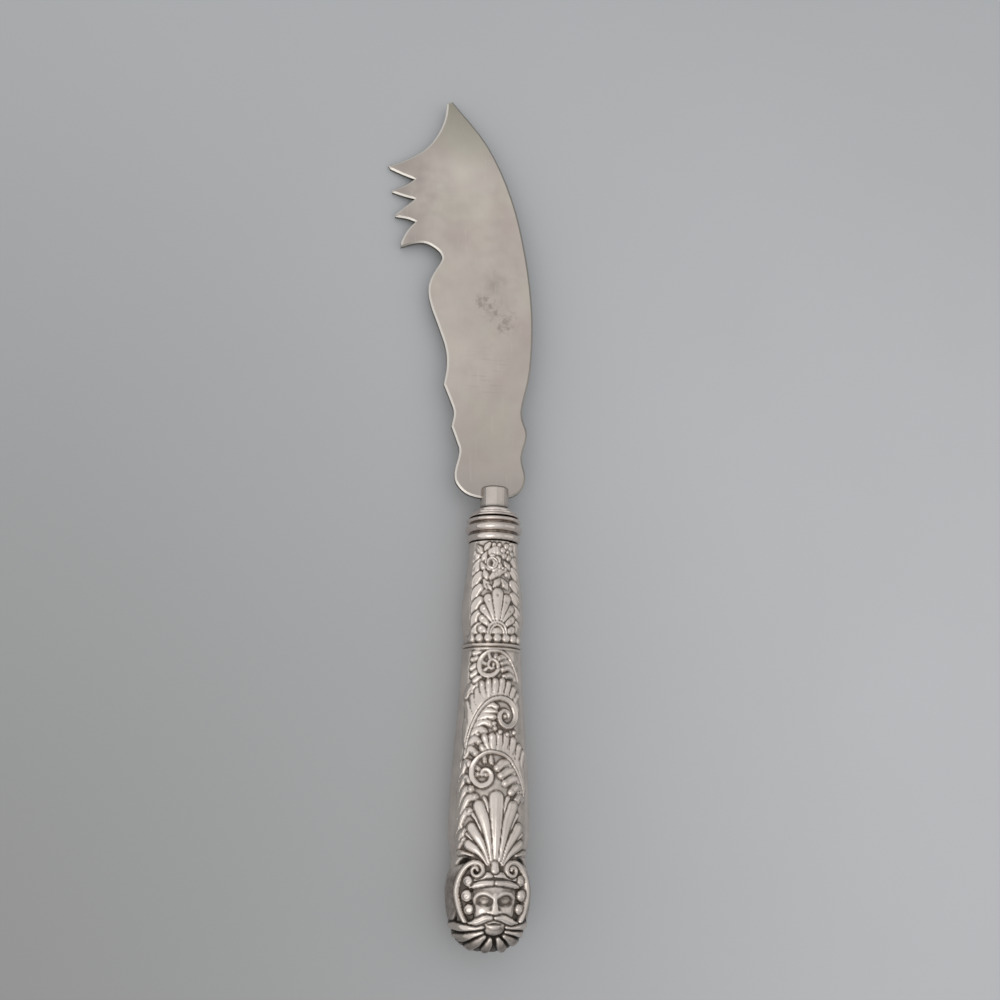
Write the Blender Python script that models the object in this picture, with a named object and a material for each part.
"""Cheese knife with a hollow handle.

A toothed blade of sheet metal sits in the slot of a round shank. The shank's tang runs down into a handle
made of two die-struck halves, which a ringed ferrule and a stepped cap close at the mouth and a hard filler
fills.

Sizes are in millimetres. The knife is drawn along Y, from the butt of the handle at -Y to the tip of the
blade at +Y, with the middle of the blade's heel at zero, the spine at +X and the front of the handle at +Z.
An empty then lays the whole knife on the table, z = 0, where it rests on a tooth, the ferrule and the back of
the handle.
"""

import math

import bmesh
import bpy
from mathutils import Vector

MM = 0.001

# Clearance between pieces that touch; the real ones are soldered or cemented together.
GAP = 0.3

# Blade
BLADE_LENGTH = 103.6
SPINE_REACH = 8.7
TOOTH_REACH = 28.0
BLADE_HEEL_THICKNESS = 1.7
BLADE_TIP_THICKNESS = 1.1
BLADE_BEVEL_WIDTH = 0.45
BLADE_BEVEL_DROP = 0.25
TIP_SHARE = 0.8

# Shank and tang
SHANK_RADIUS = 3.35
SHANK_CLASP = 2.7
SHANK_FOOT = 2.2
SHANK_EDGE_BREAK = 0.3
TENON_RADIUS = 2.5
TANG_RADIUS = 2.0
TANG_TIP_RADIUS = 1.3
TANG_LENGTH = 54.0
SLOT_OVERRUN = 2.0

# Stepped cap
CAP_STEP_RADIUS = 4.0
CAP_STEP_HEIGHT = 0.95
CAP_FLARE_RADIUS = 4.3
CAP_FLARE_HEIGHT = 1.0
CAP_LIP_RADIUS = 5.55
CAP_LIP_HEIGHT = 0.35
CAP_EDGE_BREAK = 0.25
CAP_PLUG_DEPTH = 1.4

# Ringed ferrule: the rings from the top down
RINGS = ((6.3, 1.05), (6.65, 2.05), (6.25, 1.75))
GROOVE_RADIUS = 5.85
GROOVE_HEIGHT = 0.35
FERRULE_BORE = 5.3

# Handle halves: depths below the mouth, full widths and full thicknesses
HANDLE_LENGTH = 89.8
MOUTH_LENGTH = 1.0
MOUTH_WIDTH = 11.4
MOUTH_THICKNESS = 11.3
SWELL_DEPTH = 17.2
SWELL_WIDTH = 14.2
SWELL_THICKNESS = 13.4
WAIST_DEPTH = 22.4
WAIST_WIDTH = 13.6
WAIST_THICKNESS = 12.9
PALM_DEPTH = 65.0
PALM_WIDTH = 18.1
PALM_THICKNESS = 15.6
NAPE_DEPTH = 69.8
NAPE_WIDTH = 17.1
NAPE_THICKNESS = 15.2
MEDALLION_DEPTH = 77.0
MEDALLION_WIDTH = 19.2
MEDALLION_THICKNESS = 16.0
BUTT_FULLNESS = 2.5
SHELL_WALL = 0.9
MOUTH_WALL = 1.8
BUTT_WALL = 3.6

# Relief of the halves: a band round the waist and the rim of the medallion
BAND_DEPTH = 24.0
BAND_WIDTH = 1.3
BAND_HEIGHT = 0.3
RIM_HALF_WIDTH = 7.4
RIM_HALF_LENGTH = 6.6
RIM_SOFTNESS = 0.14
RIM_HEIGHT = 0.35

# Facets
CURVE_STEPS = 4
POINT_SPACING = 0.3
RING_STEPS = 6
FLARE_STEPS = 4
ROUND_SIDES = 32
CORE_SIDES = 20
SHELL_COLUMNS = 22
LINING_COLUMNS = 12
SHELL_ROW = 1.5
LINING_ROW = 7.0
SMOOTH_ANGLE = math.radians(40)
BLADE_SMOOTH_ANGLE = math.radians(22)

# Rounds in which the knife settles on the table
SETTLING_STEPS = 12

# Outline of the blade. Across, shares of TOOTH_REACH (minus) or SPINE_REACH (plus); along, of BLADE_LENGTH.
# Each stretch is one smooth curve, and the stretches meet in corners.
SPINE_AND_HEEL_SHARES = (
    (-0.446, 1.0), (-0.111, 0.888), (0.368, 0.753), (0.793, 0.604), (1.0, 0.453), (0.954, 0.314),
    (0.724, 0.212), (0.874, 0.158), (0.736, 0.101), (0.839, 0.052), (0.632, 0.015), (0.0, 0.0),
    (-0.211, 0.006), (-0.318, 0.029), (-0.343, 0.057), (-0.307, 0.106), (-0.332, 0.132), (-0.379, 0.166),
)
LOWER_WAVE_SHARES = ((-0.379, 0.166), (-0.361, 0.199), (-0.393, 0.227), (-0.454, 0.266))
BELLY_AND_HOOK_SHARES = (
    (-0.454, 0.266), (-0.432, 0.312), (-0.446, 0.354), (-0.507, 0.403), (-0.586, 0.460), (-0.611, 0.500),
    (-0.582, 0.534), (-0.514, 0.569), (-0.500, 0.585), (-0.543, 0.602), (-0.643, 0.616), (-0.746, 0.613),
    (-0.864, 0.600),
)
FOURTH_TOOTH_SHARES = ((-0.864, 0.600), (-0.857, 0.618), (-0.805, 0.648), (-0.743, 0.669))
THIRD_TOOTH_EDGE_SHARES = ((-0.743, 0.669), (-0.820, 0.675), (-0.925, 0.677))
THIRD_TOOTH_BACK_SHARES = ((-0.921, 0.684), (-0.870, 0.698), (-0.815, 0.712), (-0.757, 0.728))
SECOND_TOOTH_EDGE_SHARES = ((-0.757, 0.728), (-0.857, 0.733), (-0.957, 0.740))
SECOND_TOOTH_BACK_SHARES = ((-0.957, 0.746), (-0.893, 0.754), (-0.825, 0.766), (-0.764, 0.780))
FIRST_TOOTH_EDGE_SHARES = ((-0.764, 0.780), (-0.880, 0.790), (-0.984, 0.801))
FIRST_TOOTH_BACK_SHARES = (
    (-1.0, 0.809), (-0.893, 0.822), (-0.775, 0.842), (-0.661, 0.868), (-0.568, 0.907), (-0.511, 0.950),
    (-0.493, 0.994),
)
BLADE_OUTLINE_SHARES = (
    SPINE_AND_HEEL_SHARES, LOWER_WAVE_SHARES, BELLY_AND_HOOK_SHARES, FOURTH_TOOTH_SHARES,
    THIRD_TOOTH_EDGE_SHARES, THIRD_TOOTH_BACK_SHARES, SECOND_TOOTH_EDGE_SHARES, SECOND_TOOTH_BACK_SHARES,
    FIRST_TOOTH_EDGE_SHARES, FIRST_TOOTH_BACK_SHARES,
)

# Places along the knife
CAP_TOP = -SHANK_FOOT - GAP
CAP_STEP_FOOT = CAP_TOP - CAP_STEP_HEIGHT
CAP_FLARE_FOOT = CAP_STEP_FOOT - CAP_FLARE_HEIGHT
CAP_SEAT = CAP_FLARE_FOOT - CAP_LIP_HEIGHT
CAP_PLUG_FOOT = CAP_SEAT - CAP_PLUG_DEPTH
FERRULE_TOP = CAP_SEAT - GAP
FERRULE_FOOT = FERRULE_TOP - sum(height for _, height in RINGS) - GROOVE_HEIGHT * (len(RINGS) - 1)
HANDLE_TOP = FERRULE_FOOT - GAP
NECK_TOP = CAP_PLUG_FOOT - GAP
TANG_END = CAP_PLUG_FOOT - TANG_LENGTH

# Handle halves: stations that the profile eases between
HANDLE_STATIONS = (
    (0.0, MOUTH_WIDTH, MOUTH_THICKNESS),
    (MOUTH_LENGTH, MOUTH_WIDTH, MOUTH_THICKNESS),
    (SWELL_DEPTH, SWELL_WIDTH, SWELL_THICKNESS),
    (WAIST_DEPTH, WAIST_WIDTH, WAIST_THICKNESS),
    (PALM_DEPTH, PALM_WIDTH, PALM_THICKNESS),
    (NAPE_DEPTH, NAPE_WIDTH, NAPE_THICKNESS),
    (MEDALLION_DEPTH, MEDALLION_WIDTH, MEDALLION_THICKNESS),
)


def clear_scene():
    """Remove whatever the scene holds."""
    for thing in list(bpy.data.objects):
        bpy.data.objects.remove(thing, do_unlink=True)


def metal(name, color, roughness, metallic=1.0):
    """A plain surface for one piece."""
    material = bpy.data.materials.new(name)
    material.use_nodes = True
    shader = material.node_tree.nodes["Principled BSDF"]
    shader.inputs["Base Color"].default_value = (*color, 1.0)
    shader.inputs["Roughness"].default_value = roughness
    shader.inputs["Metallic"].default_value = metallic
    return material


def add_piece(name, shape, material, parent, smooth_angle=SMOOTH_ANGLE):
    """Turn a shape drawn in millimetres into a named object that hangs on the parent."""
    bmesh.ops.recalc_face_normals(shape, faces=shape.faces)
    bmesh.ops.scale(shape, vec=(MM, MM, MM), verts=shape.verts)
    mesh = bpy.data.meshes.new(name)
    shape.to_mesh(mesh)
    shape.free()
    mesh.shade_smooth()
    mesh.set_sharp_from_angle(angle=smooth_angle)
    mesh.materials.append(material)
    piece = bpy.data.objects.new(name, mesh)
    piece.parent = parent
    bpy.context.collection.objects.link(piece)
    return piece


def loft(rings, closed=False):
    """Join rings of equal counts with quads; the ends are capped, or the last ring meets the first."""
    shape = bmesh.new()
    rows = [[shape.verts.new(point) for point in ring] for ring in rings]
    pairs = list(zip(rows, rows[1:]))
    if closed:
        pairs.append((rows[-1], rows[0]))
    else:
        shape.faces.new(rows[0])
        shape.faces.new(rows[-1])
    for one, other in pairs:
        for i in range(len(one)):
            j = (i + 1) % len(one)
            shape.faces.new((one[i], one[j], other[j], other[i]))
    return shape


def oval(y, half_width, half_thickness, sides):
    """A ring of points round the knife's axis."""
    turns = [2 * math.pi * i / sides for i in range(sides)]
    return [(half_width * math.sin(turn), y, half_thickness * math.cos(turn)) for turn in turns]


def turned(profile, closed=False):
    """A turned piece: the profile gives radius and place along the axis."""
    return loft([oval(y, radius, radius, ROUND_SIDES) for radius, y in profile], closed)


def smooth_curve(points, steps):
    """Points along a Catmull-Rom curve through the given ones."""
    knots = [Vector(point) for point in points]
    knots = [2 * knots[0] - knots[1]] + knots + [2 * knots[-1] - knots[-2]]
    curve = []
    for a, b, c, d in zip(knots, knots[1:], knots[2:], knots[3:]):
        for i in range(steps):
            t = i / steps
            curve.append(0.5 * (2 * b + (c - a) * t + (2 * a - 5 * b + 4 * c - d) * t**2
                                + (3 * b - a - 3 * c + d) * t**3))
    return curve + [knots[-2]]


def gap_to_edge(point, start, end):
    """Distance from a point to a straight edge."""
    edge = end - start
    share = min(max((point - start).dot(edge) / edge.length_squared, 0.0), 1.0)
    return (point - start - edge * share).length


def inset(outline, distance):
    """Move each corner of a closed outline in, square to its two edges, but less where a tip is slim."""
    area = sum(p.cross(q) for p, q in zip(outline, outline[1:] + outline[:1]))
    side = math.copysign(1.0, area)
    edges = list(zip(outline, outline[1:] + outline[:1]))
    moved = []
    for i, point in enumerate(outline):
        before = (point - outline[i - 1]).normalized()
        after = (edges[i][1] - point).normalized()
        inward = side * (Vector((-before.y, before.x)) + Vector((-after.y, after.x))).normalized()
        others = [edge for edge in edges if point not in edge]
        reach = distance
        while min(gap_to_edge(point + inward * reach, *edge) for edge in others) < reach * TIP_SHARE:
            reach *= TIP_SHARE
        moved.append(point + inward * reach)
    return moved


def blade_outline():
    """The whole outline, without the points that neighbouring stretches share."""
    outline = []
    for stretch in BLADE_OUTLINE_SHARES:
        reached = [(x * (TOOTH_REACH if x < 0 else SPINE_REACH), y * BLADE_LENGTH) for x, y in stretch]
        for point in smooth_curve(reached, CURVE_STEPS):
            if not outline or (point - outline[-1]).length > POINT_SPACING:
                outline.append(point)
    return outline


def make_blade(parent):
    """Sheet blade that thins towards the tip, with its rim bevelled on both faces."""
    rim = blade_outline()
    face = inset(rim, BLADE_BEVEL_WIDTH)

    def layer(outline, side, drop):
        thinning = (BLADE_TIP_THICKNESS - BLADE_HEEL_THICKNESS) / BLADE_LENGTH
        halves = [(BLADE_HEEL_THICKNESS + thinning * point.y) / 2 - drop for point in outline]
        return [(point.x, point.y, side * half) for point, half in zip(outline, halves)]

    shape = loft([layer(face, 1, 0.0), layer(rim, 1, BLADE_BEVEL_DROP),
                  layer(rim, -1, BLADE_BEVEL_DROP), layer(face, -1, 0.0)])
    material = metal("satin_plate", (0.44, 0.41, 0.38), 0.42)
    return add_piece("blade", shape, material, parent, BLADE_SMOOTH_ANGLE)


def make_shank(parent):
    """Round shank, slotted for the blade's heel, with a tenon through the cap and a tapering tang."""
    shape = turned([
        (SHANK_RADIUS - SHANK_EDGE_BREAK, SHANK_CLASP),
        (SHANK_RADIUS, SHANK_CLASP - SHANK_EDGE_BREAK),
        (SHANK_RADIUS, -SHANK_FOOT),
        (TENON_RADIUS, -SHANK_FOOT),
        (TENON_RADIUS, CAP_PLUG_FOOT),
        (TANG_RADIUS, CAP_PLUG_FOOT),
        (TANG_TIP_RADIUS, TANG_END),
    ])
    shank = add_piece("shank", shape, metal("bright_plate", (0.62, 0.58, 0.53), 0.28), parent)

    slot = bmesh.new()
    bmesh.ops.create_cube(slot, size=1.0)
    width = 2 * (SHANK_RADIUS + SLOT_OVERRUN)
    height = BLADE_HEEL_THICKNESS + 2 * GAP
    length = GAP + SHANK_CLASP + SLOT_OVERRUN
    bmesh.ops.scale(slot, vec=(width, length, height), verts=slot.verts)
    bmesh.ops.translate(slot, vec=(0.0, length / 2 - GAP, 0.0), verts=slot.verts)
    cutter = add_piece("slot_cutter", slot, shank.data.materials[0], parent)
    cutter.hide_render = True
    cutter.display_type = "WIRE"

    cut = shank.modifiers.new("slot", "BOOLEAN")
    cut.operation = "DIFFERENCE"
    cut.solver = "EXACT"
    cut.object = cutter
    return shank


def make_cap(parent):
    """Stepped washer with a hollow flare that plugs the ferrule's mouth round the shank's tenon."""
    hole = TENON_RADIUS + GAP
    plug = FERRULE_BORE - GAP
    profile = [
        (hole, CAP_TOP),
        (CAP_STEP_RADIUS - CAP_EDGE_BREAK, CAP_TOP),
        (CAP_STEP_RADIUS, CAP_TOP - CAP_EDGE_BREAK),
        (CAP_STEP_RADIUS, CAP_STEP_FOOT),
    ]
    for i in range(FLARE_STEPS + 1):
        share = i / FLARE_STEPS
        flare = (CAP_LIP_RADIUS - CAP_FLARE_RADIUS) * share**2
        profile.append((CAP_FLARE_RADIUS + flare, CAP_STEP_FOOT - CAP_FLARE_HEIGHT * share))
    profile += [
        (CAP_LIP_RADIUS, CAP_SEAT),
        (plug, CAP_SEAT),
        (plug, CAP_PLUG_FOOT),
        (hole, CAP_PLUG_FOOT),
    ]
    shape = turned(profile, closed=True)
    return add_piece("collar_cap", shape, metal("cap_plate", (0.60, 0.56, 0.51), 0.30), parent)


def make_ferrule(parent):
    """Collar of three half-round rings, bored to slip over the neck of the handle halves."""
    profile = [(FERRULE_BORE, FERRULE_TOP)]
    top = FERRULE_TOP
    for radius, height in RINGS:
        middle = top - height / 2
        for i in range(RING_STEPS + 1):
            turn = math.pi * (0.5 - i / RING_STEPS)
            bulge = (radius - GROOVE_RADIUS) * math.cos(turn)
            profile.append((GROOVE_RADIUS + bulge, middle + math.sin(turn) * height / 2))
        top -= height + GROOVE_HEIGHT
    profile.append((FERRULE_BORE, FERRULE_FOOT))
    shape = turned(profile, closed=True)
    return add_piece("ferrule", shape, metal("ferrule_plate", (0.62, 0.58, 0.53), 0.26), parent)


def handle_half_sizes(depth):
    """Half width and half thickness of the handle at a depth below its mouth."""
    for (d0, w0, t0), (d1, w1, t1) in zip(HANDLE_STATIONS, HANDLE_STATIONS[1:]):
        if depth <= d1:
            share = (depth - d0) / (d1 - d0)
            ease = share * share * (3 - 2 * share)
            return (w0 + (w1 - w0) * ease) / 2, (t0 + (t1 - t0) * ease) / 2
    fall = (depth - MEDALLION_DEPTH) / (HANDLE_LENGTH - MEDALLION_DEPTH)
    shrink = max(1 - fall**BUTT_FULLNESS, 0.0) ** (1 / BUTT_FULLNESS)
    return shrink * MEDALLION_WIDTH / 2, shrink * MEDALLION_THICKNESS / 2


def handle_relief(depth, turn):
    """How far the surface stands proud of the plain profile, at a turn from the middle of the face."""
    half_width, half_thickness = handle_half_sizes(depth)
    across = turn * (half_width + half_thickness) / 2
    band = BAND_HEIGHT * max(1 - ((depth - BAND_DEPTH) / (BAND_WIDTH / 2)) ** 2, 0.0)
    reach = math.hypot(across / RIM_HALF_WIDTH, (depth - MEDALLION_DEPTH) / RIM_HALF_LENGTH)
    rim = RIM_HEIGHT * math.exp(-((reach - 1) / RIM_SOFTNESS) ** 2)
    return max(band, rim)


def half_arc(y, half_width, half_thickness, columns, relief=None):
    """Points of a half oval over the seam plane, from one seam to the other."""
    limit = math.acos(GAP / 2 / half_thickness)
    points = []
    for i in range(columns + 1):
        turn = limit * (2 * i / columns - 1)
        proud = relief(turn) * math.cos(turn) if relief else 0.0
        points.append(((half_width + proud) * math.sin(turn), y, (half_thickness + proud) * math.cos(turn)))
    return points


def even_steps(start, end, step):
    """Even places from start to end, about a step apart."""
    count = max(round(abs(end - start) / step), 1)
    return [start + (end - start) * i / count for i in range(count + 1)]


def lining_sections():
    """Depths and half sizes of the hollow inside the halves."""
    depths = even_steps(MOUTH_WALL, HANDLE_LENGTH - BUTT_WALL, LINING_ROW)
    return [(depth, *(half - SHELL_WALL for half in handle_half_sizes(depth))) for depth in depths]


def make_half(name, side, parent):
    """One die-struck half: the relief outside, a plain lining inside, a round neck for the ferrule."""
    neck = FERRULE_BORE - GAP
    lining_neck = neck - SHELL_WALL
    band_top = BAND_DEPTH - BAND_WIDTH / 2
    band_foot = BAND_DEPTH + BAND_WIDTH / 2
    depths = even_steps(0.0, band_top, SHELL_ROW) + [BAND_DEPTH]
    depths += even_steps(band_foot, HANDLE_LENGTH - SHELL_WALL / 2, SHELL_ROW)
    outer = [half_arc(NECK_TOP, neck, neck, SHELL_COLUMNS), half_arc(HANDLE_TOP, neck, neck, SHELL_COLUMNS)]
    for depth in depths:
        outer.append(half_arc(HANDLE_TOP - depth, *handle_half_sizes(depth), SHELL_COLUMNS,
                              lambda turn, depth=depth: handle_relief(depth, turn)))
    inner = []
    for y in (NECK_TOP, HANDLE_TOP - SHELL_WALL):
        inner.append(half_arc(y, lining_neck, lining_neck, LINING_COLUMNS))
    for depth, half_width, half_thickness in lining_sections():
        inner.append(half_arc(HANDLE_TOP - depth, half_width, half_thickness, LINING_COLUMNS))

    shape = bmesh.new()
    rows = {}
    for key, arcs in (("outer", outer), ("inner", inner)):
        rows[key] = [[shape.verts.new((x, y, side * z)) for x, y, z in arc] for arc in arcs]
        for one, other in zip(rows[key], rows[key][1:]):
            for i in range(len(one) - 1):
                shape.faces.new((one[i], one[i + 1], other[i + 1], other[i]))
        shape.faces.new(rows[key][-1])
    shape.faces.new(rows["outer"][0] + rows["inner"][0][::-1])
    left = [row[0] for row in rows["outer"]]
    right = [row[-1] for row in reversed(rows["outer"])]
    lining_right = [row[-1] for row in rows["inner"]]
    lining_left = [row[0] for row in reversed(rows["inner"])]
    shape.faces.new(left + right + lining_right + lining_left)
    return add_piece(name, shape, metal(name + "_plate", (0.60, 0.57, 0.51), 0.30), parent)


def make_filler(parent):
    """Hard filler that fills the hollow and holds the tang."""
    rings = []
    floor = HANDLE_LENGTH - BUTT_WALL - GAP
    for depth, half_width, half_thickness in reversed(lining_sections()):
        y = HANDLE_TOP - min(depth, floor)
        rings.append(oval(y, half_width - GAP, half_thickness - GAP, CORE_SIDES))
    neck = FERRULE_BORE - GAP - SHELL_WALL - GAP
    for y in (HANDLE_TOP - SHELL_WALL, NECK_TOP):
        rings.append(oval(y, neck, neck, CORE_SIDES))
    hole = TANG_RADIUS + GAP
    rings.append(oval(NECK_TOP, hole, hole, CORE_SIDES))
    hole_tip = TANG_TIP_RADIUS + GAP
    rings.append(oval(TANG_END - GAP, hole_tip, hole_tip, CORE_SIDES))
    return add_piece("filler_core", loft(rings), metal("pitch", (0.10, 0.07, 0.05), 0.8, 0.0), parent)


def lay_on_table(knife, pieces, feet):
    """Turn the knife until all three feet touch the table, and centre it over the origin on z = 0."""
    table = Vector((0.0, 0.0, -1.0))
    down = Vector((-1.0, 0.0, -1.0))  # a first lean towards the teeth
    for _ in range(SETTLING_STEPS):
        touches = [max((vertex.co for vertex in foot.data.vertices), key=down.dot) for foot in feet]
        down = (touches[1] - touches[0]).cross(touches[2] - touches[0]).normalized()
        if down.z > 0:
            down.negate()
    turn = down.rotation_difference(table)
    points = [turn @ vertex.co for piece in pieces for vertex in piece.data.vertices]
    lows = [min(point[i] for point in points) for i in range(3)]
    highs = [max(point[i] for point in points) for i in range(3)]
    knife.rotation_mode = "QUATERNION"
    knife.rotation_quaternion = turn
    knife.location = (-(lows[0] + highs[0]) / 2, -(lows[1] + highs[1]) / 2, -lows[2])


def main():
    clear_scene()
    knife = bpy.data.objects.new("knife", None)
    bpy.context.collection.objects.link(knife)
    blade = make_blade(knife)
    ferrule = make_ferrule(knife)
    back = make_half("back_handle_shell", -1, knife)
    pieces = [
        blade,
        make_shank(knife),
        make_cap(knife),
        ferrule,
        make_half("front_handle_shell", 1, knife),
        back,
        make_filler(knife),
    ]
    lay_on_table(knife, pieces, (ferrule, back, blade))


main()
